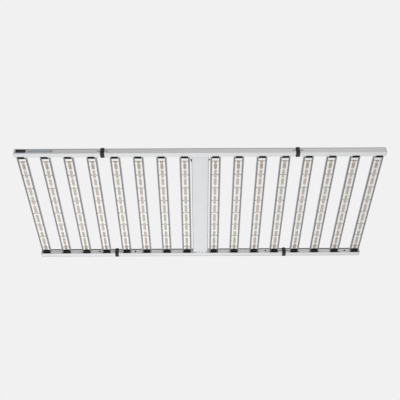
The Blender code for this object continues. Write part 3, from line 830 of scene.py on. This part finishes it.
def build_bolts():
    """Cap screws with a hexagon socket, whose chamfered hexagon nuts are on the other side."""

    def socket_trace(radius, angle, row):
        return hex_radius(radius, angle) if row in HEAD_SOCKET_ROWS else radius

    def nut_trace(radius, angle, row):
        return hex_radius(radius, angle) if row in NUT_HEXAGON_ROWS else radius

    for label, side in SIDES.items():
        for end in ENDS:
            node = f"hanger_bolt_{label}_{end}"
            low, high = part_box(node)
            middle = (low + high) / 2
            head_radius = (high.z - low.z) / 2
            outward, inward = ("Y", "-Y") if side > 0 else ("-Y", "Y")
            outer_y = high.y if side > 0 else low.y
            inner_y = low.y if side > 0 else high.y
            head_foot = (middle.x, outer_y - side * BOLT_HEAD_HEIGHT, middle.z)
            nut_foot = (middle.x, inner_y + side * BOLT_HEAD_HEIGHT, middle.z)
            shank = abs(outer_y - inner_y) - BOLT_HEAD_HEIGHT
            shape = bmesh.new()
            head = scaled(HEAD_PROFILE, head_radius, BOLT_HEAD_HEIGHT)
            add_turned(shape, head, head_foot, outward, BOLT_STEPS, 0, socket_trace)
            nut = scaled(NUT_PROFILE, head_radius, BOLT_HEAD_HEIGHT)
            add_turned(shape, nut, nut_foot, inward, BOLT_STEPS, 0, nut_trace)
            shank_end = shank - BOLT_HEAD_HEIGHT * SHANK_GAP
            profile = [(BOLT_SHANK_RADIUS, 0.0), (BOLT_SHANK_RADIUS, shank_end)]
            add_turned(shape, profile, head_foot, inward, SHANK_STEPS, 0)
            body = f"hanger_{label}_{end}"
            bolt = piece(f"cap_screw_{label}_{end}", shape, [ZINC], body)
            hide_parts(node)


CAP_SCREW_HEIGHT = 0.0008
CAP_SCREW_RADIUS = 0.0028
CAP_SCREW_RISE = 0.011
CAP_GAP = 0.0003
PLUG_GAP = 0.0002
CAP_PLUG_LENGTH = 0.008
PLUG_SIDE_INSET = 0.0050
PLUG_BOTTOM_INSET = 0.0040
PLUG_TOP_INSET = 0.0065


def build_end_caps():
    """Moulded caps over the rails' ends, each with a plug and two countersunk screws."""
    for label, side in SIDES.items():
        for end, hand in ENDS.items():
            node = f"rail_end_cap_{label}_{end}"
            low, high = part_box(node)
            outer_x = high.x if hand > 0 else low.x
            inner_x = hand * (RAIL_HALF_LENGTH + CAP_GAP)
            face_x = outer_x - hand * CAP_SCREW_HEIGHT
            middle = (low + high) / 2
            shape = bmesh.new()
            add_block(shape, (inner_x, low.y, low.z), (face_x, high.y, high.z), 0.0006, 0)
            plug_start = inner_x + hand * PLUG_GAP
            plug_end = inner_x - hand * CAP_PLUG_LENGTH
            plug_low = (plug_start, low.y + PLUG_SIDE_INSET, low.z + PLUG_BOTTOM_INSET)
            plug_high = (plug_end, high.y - PLUG_SIDE_INSET, high.z - PLUG_TOP_INSET)
            add_block(shape, plug_low, plug_high, 0.0004, 0)
            axis = "X" if hand > 0 else "-X"
            for rise in (-CAP_SCREW_RISE, CAP_SCREW_RISE):
                place = (face_x - hand * SEAT, middle.y, middle.z + rise)
                add_screw(shape, place, CAP_SCREW_RADIUS, CAP_SCREW_HEIGHT, axis, 1, 2)
            finishes = [END_CAP, BRIGHT_SCREW, SCREW_RECESS]
            name = f"moulded_end_cap_{label}_{end}"
            cap = piece(name, shape, finishes)
            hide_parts(node)


COVER_SCREW_STEPS = 6
COVER_SCREW_FROM_END = 0.03
COVER_SCREW_RADIUS = 0.0032
COVER_SCREW_HEIGHT = 0.0014
LID_SCREW_RADIUS = 0.0020
LID_SCREW_HEIGHT = 0.0012
LID_SCREW_X = 0.0532
LID_SCREW_Y = (-0.500, -0.300, -0.100, 0.100, 0.300, 0.500)


def build_top_screws():
    """Screws along the rails' cover strips and along both edges of the housing's lid."""
    for label, side in SIDES.items():
        low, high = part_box(f"rail_cover_{label}")
        shape = bmesh.new()
        for step in range(-COVER_SCREW_STEPS, COVER_SCREW_STEPS + 1):
            x = step * (high.x - COVER_SCREW_FROM_END) / COVER_SCREW_STEPS
            place = (x, (low.y + high.y) / 2, high.z - SEAT)
            add_screw(shape, place, COVER_SCREW_RADIUS, COVER_SCREW_HEIGHT, "Z", 0, 1)
        piece(f"cover_screws_{label}", shape, [BRIGHT_SCREW, SCREW_RECESS])
    shape = bmesh.new()
    for hand in (-1, 1):
        for y in LID_SCREW_Y:
            place = (hand * LID_SCREW_X, y, LID_PLATE_TOP - SEAT)
            add_screw(shape, place, LID_SCREW_RADIUS, LID_SCREW_HEIGHT, "Z", 0, 1)
    piece("lid_screws", shape, [BRIGHT_SCREW, SCREW_RECESS])


# The knob's profile in shares of its radius and height: a skirt, then a knurled grip.
KNOB_PROFILE = ((1.0, 0.0), (1.0, 0.16), (0.84, 0.24), (0.84, 0.30), (0.79, 0.88), (0.72, 1.0))
KNURLED_ROWS = (3, 4)
KNOB_FOOT_GAP = 0.0005
POINTER_LIFT = 0.0003
POINTER_REACH = (0.2, 0.66)
POINTER_HALF_WIDTH = 0.0005
POINTER_DEPTH = 0.0008
SHAFT_RADIUS = 0.003
KNOB_KNURLS = 24
KNOB_STEPS = 96
KNURL_DEPTH = 0.0004
DIAL_MARKS = 11
DIAL_TURN = math.radians(270)
DIAL_MARK_SIZE = (0.0022, 0.0005, 0.0003)
DIAL_MARK_GAP = 0.0024


def build_knob():
    """A knurled knob on a skirt, with a raised white pointer, and plain marks round it on the lid."""
    low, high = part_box("dimmer_knob")
    middle = (low + high) / 2
    radius = (high.x - low.x) / 2
    foot = LID_PLATE_TOP + KNOB_FOOT_GAP
    height = high.z - foot - POINTER_LIFT

    def knurl_trace(reach, angle, row):
        if row in KNURLED_ROWS:
            return reach - KNURL_DEPTH * (0.5 + 0.5 * math.cos(KNOB_KNURLS * angle))
        return reach

    shape = bmesh.new()
    profile = scaled(KNOB_PROFILE, radius, height)
    add_turned(shape, profile, (middle.x, middle.y, foot), "Z", KNOB_STEPS, 0, knurl_trace)
    shaft = [(SHAFT_RADIUS, 0.0), (SHAFT_RADIUS, foot - low.z)]
    add_turned(shape, shaft, (middle.x, middle.y, low.z))
    start_y, end_y = (middle.y + radius * share for share in POINTER_REACH)
    line_low = (middle.x - POINTER_HALF_WIDTH, start_y, high.z - POINTER_DEPTH)
    add_block(shape, line_low, (middle.x + POINTER_HALF_WIDTH, end_y, high.z), 0.0001, 1)
    knob = piece("knurled_knob", shape, [BLACK_PLASTIC, WHITE_INK], "dimmer_knob")
    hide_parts("dimmer_knob")

    shape = bmesh.new()
    dial = Matrix.Translation((middle.x, middle.y, LID_PLATE_TOP + SEAT))
    shift = Matrix.Translation((radius + DIAL_MARK_GAP, 0, 0))
    size = Matrix.Diagonal((*DIAL_MARK_SIZE, 1.0))
    for mark in range(DIAL_MARKS):
        angle = math.pi / 2 - DIAL_TURN * mark / (DIAL_MARKS - 1)
        turn = Matrix.Rotation(angle, 4, "Z")
        bmesh.ops.create_cube(shape, size=1.0, matrix=dial @ turn @ shift @ size)
    piece("dial_marks", shape, [LABEL_DARK])


PIN_PLACES = ((-0.006, -0.004), (0.006, -0.004), (0.0, 0.006))
PIN_HALF_WIDTH = 0.001
PIN_HALF_LENGTH = 0.0025
PIN_SINK = 0.0005
PIN_DROP = 0.001
INLET_DEPTH = 0.006
EAR_SCREW_Y = 0.0200
EAR_DROP = 0.0012
EAR_SCREW_RADIUS = 0.0026
EAR_SCREW_HEIGHT = 0.0011


def build_inlet():
    """Three flat brass pins in the mains inlet, and a screw in each of its ears."""
    low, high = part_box("power_inlet")
    middle = (low + high) / 2
    shape = bmesh.new()
    floor_z = high.z - INLET_DEPTH
    for shift_x, shift_y in PIN_PLACES:
        x = middle.x + shift_x
        y = middle.y + shift_y
        pin_low = (x - PIN_HALF_WIDTH, y - PIN_HALF_LENGTH, floor_z - PIN_SINK)
        pin_high = (x + PIN_HALF_WIDTH, y + PIN_HALF_LENGTH, high.z - PIN_DROP)
        add_block(shape, pin_low, pin_high, 0.0003)
    piece("inlet_pins", shape, [BRASS])
    shape = bmesh.new()
    for hand in (-1, 1):
        place = (middle.x, middle.y + hand * EAR_SCREW_Y, high.z - EAR_DROP)
        add_screw(shape, place, EAR_SCREW_RADIUS, EAR_SCREW_HEIGHT, "Z", 0, 1)
    piece("inlet_screws", shape, [BRIGHT_SCREW, SCREW_RECESS])


build_bolts()
build_end_caps()
build_top_screws()
build_knob()
build_inlet()


# Labels on the near rail: a plate with plain dots and a plain mottled strip, with no lettering.

LABEL_START = 0.012
LABEL_LENGTH = 0.065
LABEL_HEIGHT = 0.028
LABEL_BLUE_HEIGHT = 0.009
LABEL_DOT = 0.0036
LABEL_DOT_COLUMNS = 5
LABEL_DOT_ROWS = (0.0145, 0.0245)
LABEL_MARGIN = 0.001
LABEL_THICKNESS = 0.0005
PRINT_FRONT = 0.0007
PRINT_BACK = 0.0004
PRINT_BEVEL = 0.0001
STRIP_THICKNESS = 0.0002
STRIP_START = 0.084
STRIP_END = 0.250
STRIP_HEIGHT = 0.022


def build_label():
    """A dark plate with a blue panel and two rows of dots, and the strip beside it."""
    face_y = -RAIL_OUTER_Y
    left = -OBJECT_HALF_LENGTH
    middle_z = (RAIL_BOTTOM + RAIL_TOP) / 2
    start_x = left + LABEL_START
    end_x = start_x + LABEL_LENGTH
    bottom = middle_z - LABEL_HEIGHT / 2
    top = middle_z + LABEL_HEIGHT / 2
    shape = bmesh.new()
    plate_low = (start_x, face_y - LABEL_THICKNESS, bottom)
    add_block(shape, plate_low, (end_x, face_y + SEAT, top), 0.0002, 0)
    front, back = face_y - PRINT_FRONT, face_y - PRINT_BACK
    panel_low = (start_x + LABEL_MARGIN, front, bottom + LABEL_MARGIN)
    panel_high = (end_x - LABEL_MARGIN, back, bottom + LABEL_BLUE_HEIGHT)
    add_block(shape, panel_low, panel_high, PRINT_BEVEL, 1)
    step = LABEL_LENGTH / (LABEL_DOT_COLUMNS + 1)
    for row_z in (bottom + rise for rise in LABEL_DOT_ROWS):
        for column in range(1, LABEL_DOT_COLUMNS + 1):
            x = start_x + column * step
            dot_low = (x - LABEL_DOT / 2, front, row_z - LABEL_DOT / 2)
            dot_high = (x + LABEL_DOT / 2, back, row_z + LABEL_DOT / 2)
            add_block(shape, dot_low, dot_high, PRINT_BEVEL, 2)
    piece("maker_plate_blank", shape, [LABEL_DARK, LABEL_BLUE, CLIP_GREY])
    shape = bmesh.new()
    low = (left + STRIP_START, face_y - STRIP_THICKNESS, middle_z - STRIP_HEIGHT / 2)
    high = (left + STRIP_END, face_y + SEAT, middle_z + STRIP_HEIGHT / 2)
    add_block(shape, low, high, PRINT_BEVEL, 0)
    piece("rating_strip_blank", shape, [LABEL_STRIP])


build_label()


# Stage, light and camera.

BACKGROUND = 0.8796
NADIR_LIGHT = 0.93
HORIZON_LIGHT = 0.12
ZENITH_LIGHT = 0.55
FLOOR_DROP = 4.3
FLOOR_RADIUS = 90.0
FLOOR_GLOW = 0.42
FLOOR_SIDES = 96

# Each soft box's name, place, target, size and power.
SOFT_BOXES = (
    ("front_box", (0.7, -3.0, 0.6), (0.4, 0, 0), 1.2, 22),
    ("low_box", (-0.6, 0.6, -2.2), (-0.6, 0, 0), 1.2, 22),
    ("top_box", (0, 0.2, 2.6), (0, 0, 0), 2.0, 55),
)

# The camera fitted to the object's edges. It stands this far below the LEDs' plane.
CAMERA_LENS = 66.15
CAMERA_X = -0.0058
CAMERA_Y = -3.9210
CAMERA_DROP = 3.2840
CAMERA_PITCH = math.radians(40.4614)
CAMERA_YAW = math.radians(0.0581)
CAMERA_ROLL = math.radians(-0.2992)


def build_world():
    """A pale wall for the camera, and a soft light that is strongest from below and above."""
    world = bpy.data.worlds.new("studio")
    bpy.context.scene.world = world
    world.use_nodes = True
    nodes = Nodes(world.node_tree)
    shader = world.node_tree.nodes["Background"]
    output = world.node_tree.nodes["World Output"]
    nodes.set(shader, Color=grey(BACKGROUND), Strength=1.0)
    lighting = nodes.set(nodes.add("Background"), Strength=1.0)
    place = nodes.add("TexCoord")
    split = nodes.add("SeparateXYZ")
    nodes.link(place.outputs["Generated"], split.inputs["Vector"])
    ramp = nodes.add("ValToRGB")
    ramp.color_ramp.elements[0].position = 0.0
    ramp.color_ramp.elements[0].color = grey(NADIR_LIGHT)
    ramp.color_ramp.elements[1].position = 1.0
    ramp.color_ramp.elements[1].color = grey(ZENITH_LIGHT)
    horizon = ramp.color_ramp.elements.new(0.5)
    horizon.color = grey(HORIZON_LIGHT)
    shift = nodes.set(nodes.add("MapRange"), From_Min=-1.0, From_Max=1.0)
    nodes.link(split.outputs["Z"], shift.inputs["Value"])
    nodes.link(shift.outputs["Result"], ramp.inputs["Fac"])
    nodes.link(ramp.outputs["Color"], lighting.inputs["Color"])
    ray = nodes.add("LightPath")
    mix = nodes.add("MixShader")
    nodes.link(ray.outputs["Is Camera Ray"], mix.inputs["Fac"])
    nodes.link(lighting.outputs["Background"], mix.inputs[1])
    nodes.link(shader.outputs["Background"], mix.inputs[2])
    nodes.link(mix.outputs["Shader"], output.inputs["Surface"])


def build_floor():
    """A wide pale floor below the camera, with a glow of its own. It keeps no light out."""
    shape = bmesh.new()
    bmesh.ops.create_circle(shape, cap_ends=True, segments=FLOOR_SIDES, radius=FLOOR_RADIUS)
    mesh = bpy.data.meshes.new("floor")
    shape.to_mesh(mesh)
    shape.free()
    floor = bpy.data.objects.new("floor", mesh)
    bpy.context.scene.collection.objects.link(floor)
    floor.location = (0, 0, LED_PLANE - FLOOR_DROP)
    floor.visible_diffuse = False
    floor.visible_glossy = False
    floor.visible_shadow = False
    paint_finish = surface("studio_floor", (0.86, 0.86, 0.86), 0.0, 0.8, 0.01, 0.0, EVEN, 3)
    shader = paint_finish.node_tree.nodes["Principled BSDF"]
    shader.inputs["Emission Color"].default_value = grey(FLOOR_GLOW)
    shader.inputs["Emission Strength"].default_value = 1.0
    mesh.materials.append(paint_finish)


def build_soft_light(name, place, target, size, power):
    """A square soft box that the camera doesn't see."""
    data = bpy.data.lights.new(name, "AREA")
    data.size = size
    data.energy = power
    light = bpy.data.objects.new(name, data)
    bpy.context.scene.collection.objects.link(light)
    light.location = place
    light.rotation_euler = (Vector(target) - Vector(place)).to_track_quat("-Z", "Y").to_euler()
    light.visible_camera = False
    light.visible_glossy = False


def build_camera():
    """Looks up at the light from below and in front of the near rail."""
    data = bpy.data.cameras.new("camera")
    data.sensor_width = 36.0
    data.lens = CAMERA_LENS
    data.clip_start = 0.1
    data.clip_end = 200.0
    camera = bpy.data.objects.new("camera", data)
    bpy.context.scene.collection.objects.link(camera)
    sine, cosine = math.sin(CAMERA_YAW), math.cos(CAMERA_YAW)
    ahead = math.cos(CAMERA_PITCH)
    forward = Vector((sine * ahead, cosine * ahead, math.sin(CAMERA_PITCH)))
    level = Vector((cosine, -sine, 0))
    above = level.cross(forward)
    right = level * math.cos(CAMERA_ROLL) + above * math.sin(CAMERA_ROLL)
    up = above * math.cos(CAMERA_ROLL) - level * math.sin(CAMERA_ROLL)
    turn = Matrix((right, up, -forward)).transposed().to_4x4()
    place = Matrix.Translation((CAMERA_X, CAMERA_Y, LED_PLANE - CAMERA_DROP))
    camera.matrix_world = place @ turn
    bpy.context.scene.camera = camera


build_world()
build_floor()
for box in SOFT_BOXES:
    build_soft_light(*box)
build_camera()
